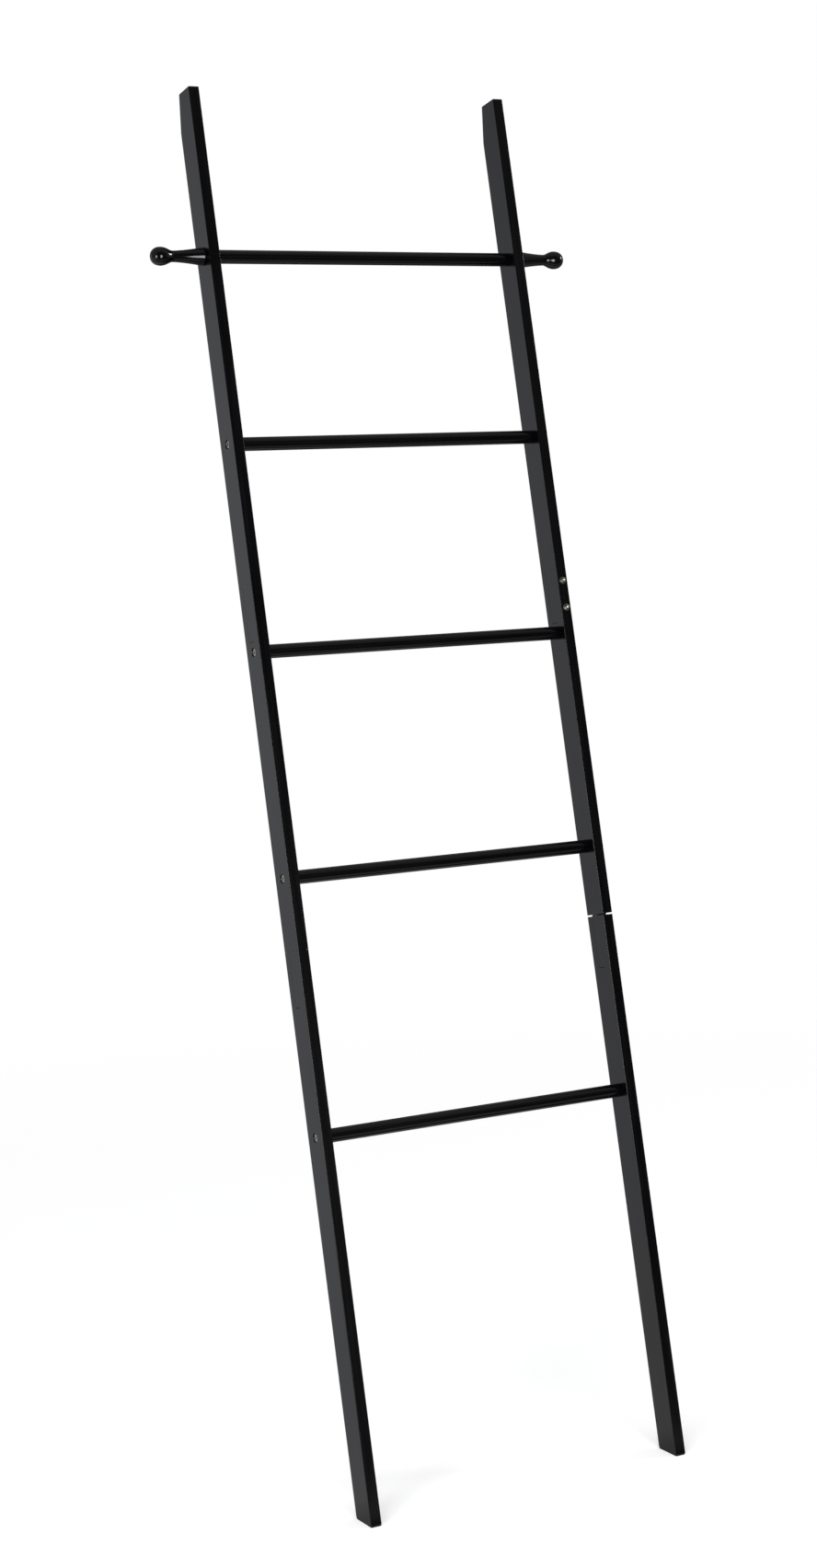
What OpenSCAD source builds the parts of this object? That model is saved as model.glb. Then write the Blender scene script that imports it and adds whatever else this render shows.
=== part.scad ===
// Leaning towel ladder: two lacquered rails, each of three sections that join
// with tongue-and-slot splices, five round rungs, and a turned knob outside
// each rail at the top rung. Sizes are in millimetres. X runs across the
// ladder, Y back to the wall and Z up. The ladder stands on the floor at z = 0
// and leans against a wall, the way it is used.

/* [Rails] */
// Angle between the rails and the wall, in degrees
lean = 10; // [4:0.5:20]
// Length of the top section of a rail, from its shoulder to the top
top_section = 620; // [560:5:800]
// Length of the middle section, from shoulder to shoulder
middle_section = 446; // [420:2:600]
// Length of the bottom section, from the foot's front edge to its shoulder
bottom_section = 684; // [500:4:900]
// Width over both rails
ladder_width = 445; // [320:5:700]
// Thickness of a rail across the ladder
rail_width = 14; // [12:0.5:24]
// Depth of a rail from its front to its wall side
rail_depth = 38.5; // [34:0.5:60]
// Radius of a rail's long edges
rail_edge_r = 0.6; // [0.4:0.1:3]
// Chamfer round the top end of a rail
rail_end_chamfer = 0.8; // [0.3:0.1:2]
// Depth that the flat for the wall takes off the top end
wall_flat_depth = 8.6; // [4:0.2:14]

/* [Rungs] */
// Diameter of a rung
rung_d = 17; // [14:0.5:24]
// Chamfer at the ends of a rung
rung_chamfer = 0.6; // [0.2:0.1:1.5]
// From the top of the rails to the first rung
top_to_rung_1 = 209; // [100:1:260]
// From the first rung to the second
rung_1_to_2 = 235; // [150:1:260]
// From the end of the upper slot down to the third rung
slot_to_rung_3 = 12.5; // [10:0.5:60]
// From the third rung to the fourth
rung_3_to_4 = 277; // [250:1:300]
// From the lower shoulder down to the fifth rung
shoulder_to_rung_5 = 225; // [160:1:320]

/* [Knobs] */
// Widest diameter of the knob's head
knob_head_d = 22.9; // [18:0.1:32]
// Diameter of the knob's neck
knob_neck_d = 13.9; // [11:0.1:16]
// Diameter of the knob's base on the rail
knob_base_d = 22.8; // [18:0.2:30]
// From the rail to the narrowest point of the neck
knob_neck_out = 41.5; // [30:0.5:60]
// From the narrowest point of the neck to the widest point of the head
knob_neck_to_head = 15.4; // [10:0.2:30]
// From the widest point of the head to the knob's end
knob_head_to_end = 12.9; // [8:0.1:20]
// Rounding of the knob's base edge
knob_base_round = 1.4; // [0.5:0.1:2.5]
// How fast the flare opens from the neck to the base
knob_flare_power = 1.55; // [1.2:0.05:2.4]
// How early the head swells out of the neck
knob_swell_power = 0.8; // [0.7:0.05:1.2]
// Fullness of the knob's round end, where 2 is an ellipse
knob_dome_power = 2.25; // [1.8:0.05:2.8]

/* [Splices] */
// Length of a tongue
tongue_length = 68; // [60:1:100]
// Thickness of a tongue
tongue_thickness = 11.6; // [10:0.2:16]
// How far a tongue lies behind the middle of the rail's depth
tongue_offset = 1.5; // [0:0.25:3.5]
// Gap in front of a tongue in its slot
tongue_clearance = 0.1; // [0.05:0.05:0.4]
// Gap behind a tongue, which its screws leave open
tongue_slack = 0.45; // [0.1:0.05:0.8]
// Gap under the end of a tongue
slot_end_gap = 0.7; // [0.5:0.1:3]
// Open line at a closed shoulder
shoulder_gap = 0.15; // [0.1:0.05:1]
// Wider line at the lower splice of the right rail
right_lower_gap = 2.1; // [0.2:0.1:6]
// From a shoulder down to the first splice screw
splice_screw_down = 16.5; // [12:0.5:22]
// Between the two screws of a splice
splice_screw_pitch = 35; // [25:1:40]

/* [Screws] */
// Shank diameter of a splice screw
splice_screw_d = 5; // [4:0.5:6]
// Head diameter of a splice screw
splice_head_d = 9.5; // [8:0.1:12]
// Head height of a splice screw
splice_head_h = 2.75; // [2:0.05:4]
// Length of a splice screw inside its insert
splice_grip = 8; // [5:0.5:9]
// Key size of a splice screw
splice_key = 3; // [2:0.5:4]
// Depth of that key socket
splice_key_depth = 1.7; // [1:0.1:1.8]
// Shank diameter of a rung screw
rung_screw_d = 6; // [5:0.5:7]
// Head diameter of a rung screw
rung_head_d = 10.5; // [9:0.1:13]
// Head height of a rung screw
rung_head_h = 3.3; // [2.5:0.1:4]
// Length of a rung screw inside its insert
rung_grip = 13; // [8:0.5:18]
// Key size of a rung screw
rung_key = 4; // [2.5:0.5:5]
// Depth of that key socket
rung_key_depth = 2.1; // [1:0.1:2.3]
// How far a rung screw's head lies below the rail's side
head_recess = 0.6; // [0:0.1:2.5]
// Gap round a head in its counterbore
head_clearance = 0.4; // [0.2:0.05:1.5]
// Gap round a shank in wood
hole_clearance = 0.25; // [0.1:0.05:0.5]

/* [Inserts and studs] */
// Outer diameter of a rung insert
rung_insert_d = 9; // [8:0.5:10]
// Length of a rung insert
rung_insert_length = 15; // [10:1:20]
// Outer diameter of a splice insert
splice_insert_d = 7; // [6.5:0.5:8]
// Length of a splice insert
splice_insert_length = 9; // [6:0.5:10]
// Gap round a screw in its insert
thread_clearance = 0.05; // [0.02:0.01:0.15]
// Gap round an insert in its bore
insert_clearance = 0.05; // [0.02:0.01:0.15]
// Diameter of the stud that holds a knob
stud_d = 6; // [5:0.5:7]
// Length of the stud inside a knob
stud_in_knob = 26; // [15:1:28]
// Length of the stud inside the first rung
stud_in_rung = 14; // [8:0.5:18]
// Gap past the end of a screw or a stud
end_clearance = 1; // [0.5:0.1:2]

/* [Feet] */
// Thickness of the anti-slip pad under a foot
pad_thickness = 2; // [1:0.1:4]
// Margin of the pad inside the foot's edges
pad_margin = 0.4; // [0:0.1:1.5]

/* [Hidden] */
$fn = 48;
small_fn = 32;
key_sides = 6;
cut = 1;                                     // how far a cutter runs past a face
sin_lean = sin(lean);
cos_lean = cos(lean);

outer_x = ladder_width / 2;                  // outer side of a rail
inner_x = outer_x - rail_width;              // inner side of a rail
axis_y = rail_depth / 2;                     // rungs lie at mid depth

tongue_front = axis_y + tongue_offset - tongue_thickness / 2;
slot_thickness = tongue_clearance + tongue_thickness + tongue_slack;
front_cheek = tongue_front - tongue_clearance;           // wood in front of a slot
back_cheek = rail_depth - front_cheek - slot_thickness;  // wood behind it
slot_gap = min(tongue_clearance, tongue_slack);          // narrower gap beside a tongue
slot_depth = tongue_length + slot_end_gap;

// Heights along the rails, from the front edge of the feet.
lower_shoulder = bottom_section;
upper_shoulder = lower_shoulder + middle_section;
rail_length = upper_shoulder + top_section;
rung_1_height = rail_length - top_to_rung_1;
rung_2_height = rung_1_height - rung_1_to_2;
rung_3_height = upper_shoulder - slot_depth - slot_to_rung_3;
rung_4_height = rung_3_height - rung_3_to_4;
rung_5_height = lower_shoulder - shoulder_to_rung_5;
screwed_rungs = [rung_2_height, rung_3_height, rung_4_height, rung_5_height];
all_rungs = concat([rung_1_height], screwed_rungs);

splice_drops = [splice_screw_down, splice_screw_down + splice_screw_pitch];
splice_bore_depth = max(splice_insert_length, splice_grip + end_clearance);

counterbore_d = rung_head_d + 2 * head_clearance;
counterbore_depth = rung_head_h + head_recess;
seat_x = outer_x - counterbore_depth;        // floor of a counterbore
rung_bore_d = rung_insert_d + 2 * insert_clearance;
rung_bore_depth = max(rung_insert_length, rung_grip + end_clearance);
stud_bore_depth = max(rung_insert_length, stud_in_rung + end_clearance);

knob_head_out = knob_neck_out + knob_neck_to_head;

// The wall touches the flat at the top, and the part is centred in Y on the
// space between the toe of the feet and that wall.
wall_y = (rail_depth - wall_flat_depth) * cos_lean + rail_length * sin_lean;
centre_y = wall_y / 2;

rail_color = [0.075, 0.075, 0.08];
rung_color = [0.06, 0.06, 0.062];
steel_color = [0.62, 0.58, 0.52];
brass_color = [0.72, 0.58, 0.3];
pad_color = [0.03, 0.03, 0.03];

// Placing.

// Stands the ladder's own frame, Z up the rails, on its feet at the lean.
module leaning() {
    translate([0, -centre_y, pad_thickness]) rotate([-lean, 0, 0]) children();
}

// Everything is drawn for the right rail, and the left is its mirror image.
module left() {
    mirror([1, 0, 0]) children();
}

// Rails.

// Section of a rail with rounded long edges.
module rail_section() {
    r = rail_edge_r;
    translate([inner_x + r, 0]) square([rail_width - 2 * r, rail_depth]);
    translate([inner_x, r]) square([rail_width, rail_depth - 2 * r]);
    for (x = [inner_x + r, outer_x - r], y = [r, rail_depth - r])
        translate([x, y]) circle(r = r, $fn = small_fn);
}

module rail_bar(from, to) {
    translate([0, 0, from]) linear_extrude(to - from) rail_section();
}

// Slice of the rail's depth, the full width of the rail.
module depth_slice(front, thickness, from, to, side = 0) {
    translate([inner_x - side, front, from])
        cube([rail_width + 2 * side, thickness, to - from]);
}

module tongue(shoulder) {
    depth_slice(tongue_front, tongue_thickness, shoulder - tongue_length, shoulder);
}

module slot(shoulder) {
    depth_slice(front_cheek, slot_thickness, shoulder - slot_depth, shoulder + cut, cut);
}

// From the face where a splice screw's head sits to its insert in the far cheek.
function splice_reach(from_back) = slot_thickness + (from_back ? back_cheek : front_cheek);

// Clearance holes for the two screws of a splice. They start at the face
// where the heads sit: the front, or the wall side when from_back is set.
module along_splice(shoulder, from_back) {
    for (drop = splice_drops)
        translate([inner_x + rail_width / 2, from_back ? rail_depth : 0, shoulder - drop])
            rotate([from_back ? 90 : -90, 0, 0]) children();
}

module splice_holes(shoulder, from_back) {
    along_splice(shoulder, from_back) {
        translate([0, 0, -cut])
            cylinder(d = splice_screw_d + 2 * hole_clearance, h = splice_reach(from_back) + cut);
        translate([0, 0, splice_reach(from_back) - slot_gap])
            cylinder(d = splice_insert_d + 2 * insert_clearance, h = splice_bore_depth + slot_gap);
    }
}

// Hole and counterbore of a rung screw, drilled in from the outer side.
module rung_screw_hole(height) {
    translate([0, axis_y, height]) rotate([0, 90, 0]) {
        translate([0, 0, inner_x - cut])
            cylinder(d = rung_screw_d + 2 * hole_clearance, h = rail_width);
        translate([0, 0, seat_x])
            cylinder(d = counterbore_d, h = counterbore_depth + cut);
    }
}

module stud_hole() {
    translate([inner_x - cut, axis_y, rung_1_height]) rotate([0, 90, 0])
        cylinder(d = stud_d + 2 * hole_clearance, h = rail_width + 2 * cut);
}

// Chamfers round the square top end.
module end_chamfers() {
    side = rail_end_chamfer * sqrt(2);
    for (x = [inner_x, outer_x])
        translate([x, -cut, rail_length]) rotate([0, 45, 0])
            translate([-side / 2, 0, -side / 2]) cube([side, rail_depth + 2 * cut, side]);
    translate([inner_x - cut, 0, rail_length]) rotate([45, 0, 0])
        translate([0, -side / 2, -side / 2]) cube([rail_width + 2 * cut, side, side]);
}

// Everything behind the plane of the wall.
module behind_wall() {
    translate([inner_x - cut, centre_y, 0])
        cube([rail_width + 2 * cut, rail_depth, rail_length + rail_depth]);
}

module rail_top(from_back) {
    difference() {
        leaning() difference() {
            union() {
                rail_bar(upper_shoulder, rail_length);
                tongue(upper_shoulder);
            }
            splice_holes(upper_shoulder, from_back);
            for (height = screwed_rungs) if (height > upper_shoulder) rung_screw_hole(height);
            stud_hole();
            end_chamfers();
        }
        behind_wall();
    }
}

module rail_middle(upper_from_back, lower_from_back) {
    leaning() difference() {
        union() {
            rail_bar(lower_shoulder, upper_shoulder - shoulder_gap);
            tongue(lower_shoulder);
        }
        slot(upper_shoulder);
        splice_holes(upper_shoulder, upper_from_back);
        splice_holes(lower_shoulder, lower_from_back);
        for (height = screwed_rungs)
            if (height < upper_shoulder && height > lower_shoulder) rung_screw_hole(height);
    }
}

// The lower section's foot is cut level with the floor.
module rail_bottom(from_back, gap) {
    difference() {
        leaning() difference() {
            rail_bar(-rail_depth, lower_shoulder - gap);
            slot(lower_shoulder);
            splice_holes(lower_shoulder, from_back);
            for (height = screwed_rungs) if (height < lower_shoulder) rung_screw_hole(height);
        }
        translate([inner_x - cut, -centre_y - rail_depth, pad_thickness - 3 * rail_depth])
            cube([rail_width + 2 * cut, 3 * rail_depth, 3 * rail_depth]);
    }
}

// Rungs.

module rung(height, bore_depth = rung_bore_depth) {
    c = rung_chamfer;
    leaning() translate([0, axis_y, height]) rotate([0, 90, 0]) difference() {
        rotate_extrude() polygon([
            [0, -inner_x], [rung_d / 2 - c, -inner_x], [rung_d / 2, -inner_x + c],
            [rung_d / 2, inner_x - c], [rung_d / 2 - c, inner_x], [0, inner_x]
        ]);
        for (end = [-inner_x - cut, inner_x - bore_depth])
            translate([0, 0, end]) cylinder(d = rung_bore_d, h = bore_depth + cut);
    }
}

// Knobs.

function knob_flare(s) = knob_neck_d / 2 + (knob_base_d - knob_neck_d) / 2
    * pow((knob_neck_out - s) / knob_neck_out, knob_flare_power);
function knob_swell(s) = knob_neck_d / 2 + (knob_head_d - knob_neck_d) / 4
    * (1 - cos(180 * pow((s - knob_neck_out) / knob_neck_to_head, knob_swell_power)));
function knob_dome(angle) = [
    knob_head_d / 2 * pow(cos(angle), 2 / knob_dome_power),
    knob_head_out + knob_head_to_end * pow(sin(angle), 2 / knob_dome_power)
];

flare_steps = 9;
swell_steps = 9;
dome_steps = 8;
round_steps = 3;

// Turned profile as [radius, distance from the rail].
knob_profile = concat(
    [[0, 0]],
    [for (i = [0 : round_steps]) let (a = 90 * i / round_steps)
        [knob_flare(knob_base_round) - knob_base_round * (1 - sin(a)), knob_base_round * (1 - cos(a))]],
    [for (i = [1 : flare_steps])
        let (s = knob_base_round + (knob_neck_out - knob_base_round) * i / flare_steps)
        [knob_flare(s), s]],
    [for (i = [1 : swell_steps])
        let (s = knob_neck_out + knob_neck_to_head * i / swell_steps)
        [knob_swell(s), s]],
    [for (i = [1 : dome_steps]) knob_dome(90 * i / dome_steps)]
);

module knob() {
    leaning() translate([outer_x, axis_y, rung_1_height]) rotate([0, 90, 0]) difference() {
        rotate_extrude() polygon(knob_profile);
        translate([0, 0, -cut])
            cylinder(d = stud_d + 2 * thread_clearance, h = stud_in_knob + end_clearance + cut);
    }
}

module knob_stud() {
    leaning() translate([inner_x - stud_in_rung, axis_y, rung_1_height]) rotate([0, 90, 0])
        cylinder(d = stud_d, h = stud_in_rung + rail_width + stud_in_knob, $fn = small_fn);
}

// Fasteners.

// Button-head screw along +Z from its head, with the head's seat at z = 0.
module button_screw(shank_d, length, head_d, head_h, key, key_depth) {
    // radius of the ball that gives the button its dome, over a flat rim
    rim = head_h / 4;
    rise = head_h - rim;
    ball_r = (pow(head_d / 2, 2) + rise * rise) / (2 * rise);
    cylinder(d = shank_d, h = length, $fn = small_fn);
    difference() {
        intersection() {
            translate([0, 0, -head_h]) cylinder(d = head_d, h = head_h, $fn = small_fn);
            translate([0, 0, ball_r - head_h]) sphere(r = ball_r);
        }
        translate([0, 0, -head_h - cut])
            cylinder(d = key / cos(180 / key_sides), h = key_depth + cut, $fn = key_sides);
    }
}

module splice_screws(shoulder, from_back) {
    leaning() along_splice(shoulder, from_back)
        button_screw(splice_screw_d, splice_reach(from_back) + splice_grip,
            splice_head_d, splice_head_h, splice_key, splice_key_depth);
}

module rung_screws() {
    leaning() for (height = screwed_rungs)
        translate([seat_x, axis_y, height]) rotate([0, -90, 0])
            button_screw(rung_screw_d, seat_x - inner_x + rung_grip,
                rung_head_d, rung_head_h, rung_key, rung_key_depth);
}

module insert_sleeve(outer_d, bore_d, length) {
    difference() {
        cylinder(d = outer_d, h = length, $fn = small_fn);
        translate([0, 0, -cut]) cylinder(d = bore_d, h = length + 2 * cut, $fn = small_fn);
    }
}

module rung_inserts() {
    leaning() for (height = all_rungs) {
        d = height == rung_1_height ? stud_d : rung_screw_d;
        translate([inner_x - rung_insert_length, axis_y, height]) rotate([0, 90, 0])
            insert_sleeve(rung_insert_d, d + 2 * thread_clearance, rung_insert_length);
    }
}

module splice_insert_pair(shoulder, from_back) {
    leaning() along_splice(shoulder, from_back)
        translate([0, 0, splice_reach(from_back)])
            insert_sleeve(splice_insert_d, splice_screw_d + 2 * thread_clearance, splice_insert_length);
}

// Feet.

module foot_pad() {
    depth = rail_depth / cos_lean - 2 * pad_margin;
    r = rail_edge_r;
    translate([inner_x + pad_margin, pad_margin - centre_y, 0]) linear_extrude(pad_thickness) {
        width = rail_width - 2 * pad_margin;
        translate([r, 0]) square([width - 2 * r, depth]);
        translate([0, r]) square([width, depth - 2 * r]);
        for (x = [r, width - r], y = [r, depth - r]) translate([x, y]) circle(r = r, $fn = small_fn);
    }
}

// One module per piece.

module left_rail_top() { color(rail_color) left() rail_top(true); }
module left_rail_middle() { color(rail_color) left() rail_middle(true, true); }
module left_rail_bottom() { color(rail_color) left() rail_bottom(true, shoulder_gap); }
module right_rail_top() { color(rail_color) rail_top(false); }
module right_rail_middle() { color(rail_color) rail_middle(false, true); }
module right_rail_bottom() { color(rail_color) rail_bottom(true, right_lower_gap); }

module rung_1() { color(rung_color) rung(rung_1_height, stud_bore_depth); }
module rung_2() { color(rung_color) rung(rung_2_height); }
module rung_3() { color(rung_color) rung(rung_3_height); }
module rung_4() { color(rung_color) rung(rung_4_height); }
module rung_5() { color(rung_color) rung(rung_5_height); }

module left_knob() { color(rung_color) left() knob(); }
module right_knob() { color(rung_color) knob(); }
module left_knob_stud() { color(steel_color) left() knob_stud(); }
module right_knob_stud() { color(steel_color) knob_stud(); }

module left_rung_inserts() { color(brass_color) left() rung_inserts(); }
module right_rung_inserts() { color(brass_color) rung_inserts(); }
module left_rung_screws() { color(steel_color) left() rung_screws(); }
module right_rung_screws() { color(steel_color) rung_screws(); }

module left_upper_splice_screws() { color(steel_color) left() splice_screws(upper_shoulder, true); }
module left_lower_splice_screws() { color(steel_color) left() splice_screws(lower_shoulder, true); }
module right_upper_splice_screws() { color(steel_color) splice_screws(upper_shoulder, false); }
module right_lower_splice_screws() { color(steel_color) splice_screws(lower_shoulder, true); }

module left_splice_inserts() {
    color(brass_color) left() {
        splice_insert_pair(upper_shoulder, true);
        splice_insert_pair(lower_shoulder, true);
    }
}
module right_splice_inserts() {
    color(brass_color) {
        splice_insert_pair(upper_shoulder, false);
        splice_insert_pair(lower_shoulder, true);
    }
}

module left_foot_pad() { color(pad_color) left() foot_pad(); }
module right_foot_pad() { color(pad_color) foot_pad(); }

left_rail_top();
left_rail_middle();
left_rail_bottom();
right_rail_top();
right_rail_middle();
right_rail_bottom();
rung_1();
rung_2();
rung_3();
rung_4();
rung_5();
left_knob();
right_knob();
left_knob_stud();
right_knob_stud();
left_rung_inserts();
right_rung_inserts();
left_rung_screws();
right_rung_screws();
left_upper_splice_screws();
left_lower_splice_screws();
right_upper_splice_screws();
right_lower_splice_screws();
left_splice_inserts();
right_splice_inserts();
left_foot_pad();
right_foot_pad();
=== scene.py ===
"""Leaning towel ladder of black lacquered wood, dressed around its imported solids.

Lengths are in metres. A place on a rail is given in the rails' own leaning frame: across the
ladder, back from the rails' front faces, and up along the rails from the front edge of the feet.
"""

import logging
import math
from collections.abc import Sequence
from dataclasses import dataclass, replace
from enum import Enum

import bmesh
import bpy
from bpy.types import Material, Mesh, Node, NodeOutputs, NodeTree, Object
from bpy.types import NodeSocket as Socket
from mathutils import Matrix, Vector


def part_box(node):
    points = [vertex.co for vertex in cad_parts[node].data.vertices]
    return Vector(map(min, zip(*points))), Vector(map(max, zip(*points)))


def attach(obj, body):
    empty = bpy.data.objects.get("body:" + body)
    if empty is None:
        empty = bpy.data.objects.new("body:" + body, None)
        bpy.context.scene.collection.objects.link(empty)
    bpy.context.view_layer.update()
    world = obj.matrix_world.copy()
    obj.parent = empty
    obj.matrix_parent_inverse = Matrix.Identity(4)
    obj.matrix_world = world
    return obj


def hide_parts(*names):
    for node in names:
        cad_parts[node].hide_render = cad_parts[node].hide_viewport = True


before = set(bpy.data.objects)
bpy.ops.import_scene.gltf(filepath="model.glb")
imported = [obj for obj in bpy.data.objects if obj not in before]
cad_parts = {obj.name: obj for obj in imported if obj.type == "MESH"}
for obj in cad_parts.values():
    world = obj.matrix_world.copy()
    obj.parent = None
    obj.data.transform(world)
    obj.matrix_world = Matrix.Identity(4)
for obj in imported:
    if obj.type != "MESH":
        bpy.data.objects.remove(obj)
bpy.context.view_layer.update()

MM = 0.001
BODY = "root"
QUARTER_TURN = math.radians(90.0)
LEAN = math.radians(10.0)
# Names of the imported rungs, from the top.
RUNGS = [f"rung_{number}" for number in range(1, 6)]
# Face attribute that is 1 on the tongues, slots and shoulders.
JOINT = "joint"
# Point attribute that is 1 in the key sockets of the screws.
KEY = "key"
# Packed corners closer than this are one.
WELD = 0.005 * MM
WHITE = (1.0, 1.0, 1.0, 1.0)
# The window light from the left and behind is a little cooler than the lamps.
WINDOW_COLOR = "#F5F7FE"
# Numbers of the Mix node's inputs A and B, for values and for colours, and of its colour output.
VALUE_A, VALUE_B = 2, 3
COLOR_A, COLOR_B, MIXED_COLOR = 6, 7, 2
LOG = logging.getLogger("towel_ladder")

Color = tuple[float, float, float, float]
# Two ends of a stretch of a pattern, a place or a direction, or what they become.
Span = tuple[float, float]
Size = tuple[float, float, float]
# Radius, key share and distance along the axis of each point of a turned outline.
Profile = list[tuple[float, float, float]]


class Side(Enum):
    """The two sides of the ladder, with their direction along X."""

    LEFT = -1
    RIGHT = 1

    def node(self, kind: str) -> str:
        """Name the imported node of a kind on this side."""
        return f"{self.name.lower()}_{kind}"


class Splice(Enum):
    """The splices of a rail, with the heights of their shoulders up along it."""

    UPPER = 1130 * MM
    LOWER = 684 * MM


class Grain(Enum):
    """What the grain runs along, with the turn that brings it to the pattern's Z."""

    RAIL = (LEAN, 0.0, 0.0)
    RUNG = (0.0, -QUARTER_TURN, 0.0)


def linear(hex_code: str) -> Color:
    """Turn an sRGB hex value into a linear colour.

    Args:
        hex_code: six hex digits after a hash sign.

    Returns:
        Linear red, green and blue, and an alpha of 1.
    """
    shares = [int(hex_code[start:start + 2], 16) / 255 for start in (1, 3, 5)]
    red, green, blue = (share / 12.92 if share <= 0.04045 else ((share + 0.055) / 1.055) ** 2.4
                        for share in shares)
    return red, green, blue, 1.0


class Nodes:
    """A node tree that starts empty, with the ways to fill it."""

    def __init__(self, tree: NodeTree) -> None:
        """Empty the tree."""
        tree.nodes.clear()
        self.tree = tree

    def add(self, kind: str, inputs: dict | None = None, **settings: object) -> Node:
        """Add a node with its settings, and fill or link its inputs.

        Args:
            kind: type name of the node.
            inputs: by an input's name or number, its value, or the socket or node that feeds it.
            settings: properties of the node.

        Returns:
            The new node.
        """
        node = self.tree.nodes.new(kind)
        for name, value in settings.items():
            setattr(node, name, value)
        for key, value in (inputs or {}).items():
            if isinstance(value, Node):
                value = value.outputs[0]
            if isinstance(value, Socket):
                self.tree.links.new(value, node.inputs[key])
            else:
                node.inputs[key].default_value = value
        return node

    def noise(self, coords: Socket, size: Size, detail: float = 2.0) -> Socket:
        """Lay a noise of a real size over the coordinates.

        Args:
            coords: socket with the coordinates, in metres.
            size: length of one patch along each axis.
            detail: how many finer layers the noise has.

        Returns:
            Socket with the noise, about 0 to 1.
        """
        scale = tuple(1 / length for length in size)
        scaled = self.add("ShaderNodeMapping", {"Vector": coords, "Scale": scale})
        noise = self.add("ShaderNodeTexNoise",
                         {"Vector": scaled, "Scale": 1.0, "Detail": detail})
        return noise.outputs[0]

    def remap(self, value: Socket, source: Span, target: tuple[float | Socket, float | Socket]
              ) -> Socket:
        """Map a stretch of a value to another one, clamped at both ends.

        Args:
            value: socket with the value.
            source: low and high end of the value's stretch.
            target: what these ends become.

        Returns:
            Socket with the mapped value.
        """
        node = self.add("ShaderNodeMapRange", {
            "Value": value, "From Min": source[0], "From Max": source[1],
            "To Min": target[0], "To Max": target[1]})
        return node.outputs[0]


def new_material(name: str) -> tuple[Material, Nodes]:
    """Start a material.

    Args:
        name: name of the material.

    Returns:
        The material and its empty node tree.
    """
    material = bpy.data.materials.new(name)
    material.use_nodes = True
    return material, Nodes(material.node_tree)


@dataclass(frozen=True)
class BlackLacquer:
    """Sprayed black lacquer over sanded beech.

    The film is thin, so the wood's pores and the long marks of sanding still show as a fine
    streak in its gloss, and the black is a little lighter where the film is thinner.
    """

    name: str
    grain: Grain
    deep_color: str = "#020203"
    thin_color: str = "#060608"
    # Stretch of the streaks over which the film goes from thick to thin.
    film_span: Span = (0.15, 0.4)
    ior: float = 1.5
    roughness: float = 0.15
    roughness_spread: float = 0.03
    # Stretch of the sanding marks over which the roughness changes.
    gloss_span: Span = (0.3, 0.7)
    # Pores of beech are 0.1 mm wide, too fine to show, so they are drawn four times as wide.
    pore_size: Size = (0.4 * MM, 0.4 * MM, 9 * MM)
    pore_depth: float = 0.004 * MM
    # Noise below this stretch is the bottom of a pore, and above it is the flat surface.
    pore_span: Span = (0.25, 0.42)
    sanding_size: Size = (2.2 * MM, 2.2 * MM, 160 * MM)
    sanding_depth: float = 0.006 * MM
    swell_size: Size = (14 * MM, 14 * MM, 90 * MM)
    swell_depth: float = 0.02 * MM
    # Only dry overspray reaches the faces inside the joints, so they stay dull and greyer.
    joint_color: str = "#2E2E30"
    joint_roughness: float = 0.7

    def make(self) -> Material:
        """Build the material and return it."""
        material, nodes = new_material(self.name)
        place = nodes.add("ShaderNodeTexCoord").outputs["Object"]
        joint = nodes.add("ShaderNodeAttribute", attribute_name=JOINT).outputs["Fac"]
        along = nodes.add("ShaderNodeMapping",
                          {"Vector": place, "Rotation": self.grain.value}).outputs[0]
        pores = nodes.noise(along, self.pore_size)
        sanding = nodes.noise(along, self.sanding_size)
        swell = nodes.noise(along, self.swell_size, 1.0)

        streak = nodes.add("ShaderNodeMath", {0: sanding, 1: swell}, operation="MULTIPLY")
        film = nodes.remap(streak.outputs[0], self.film_span, (0.0, 1.0))
        lacquer = nodes.add("ShaderNodeMix", {
            0: film, COLOR_A: linear(self.deep_color), COLOR_B: linear(self.thin_color)},
            data_type="RGBA")
        color = nodes.add("ShaderNodeMix", {
            0: joint, COLOR_A: lacquer.outputs[MIXED_COLOR], COLOR_B: linear(self.joint_color)},
            data_type="RGBA")
        gloss = nodes.remap(sanding, self.gloss_span, (self.roughness - self.roughness_spread,
                                                       self.roughness + self.roughness_spread))
        roughness = nodes.remap(joint, (0.0, 1.0), (gloss, self.joint_roughness))

        dents = nodes.remap(pores, self.pore_span, (0.0, self.pore_depth))
        marks = nodes.add("ShaderNodeMath",
                          {0: sanding, 1: self.sanding_depth, 2: dents}, operation="MULTIPLY_ADD")
        height = nodes.add("ShaderNodeMath",
                           {0: swell, 1: self.swell_depth, 2: marks}, operation="MULTIPLY_ADD")
        bump = nodes.add("ShaderNodeBump", {"Height": height, "Distance": 1.0, "Strength": 1.0})
        shader = nodes.add("ShaderNodeBsdfPrincipled", {
            "Base Color": color.outputs[MIXED_COLOR], "IOR": self.ior, "Roughness": roughness,
            "Normal": bump})
        nodes.add("ShaderNodeOutputMaterial", {"Surface": shader})
        return material


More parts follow.
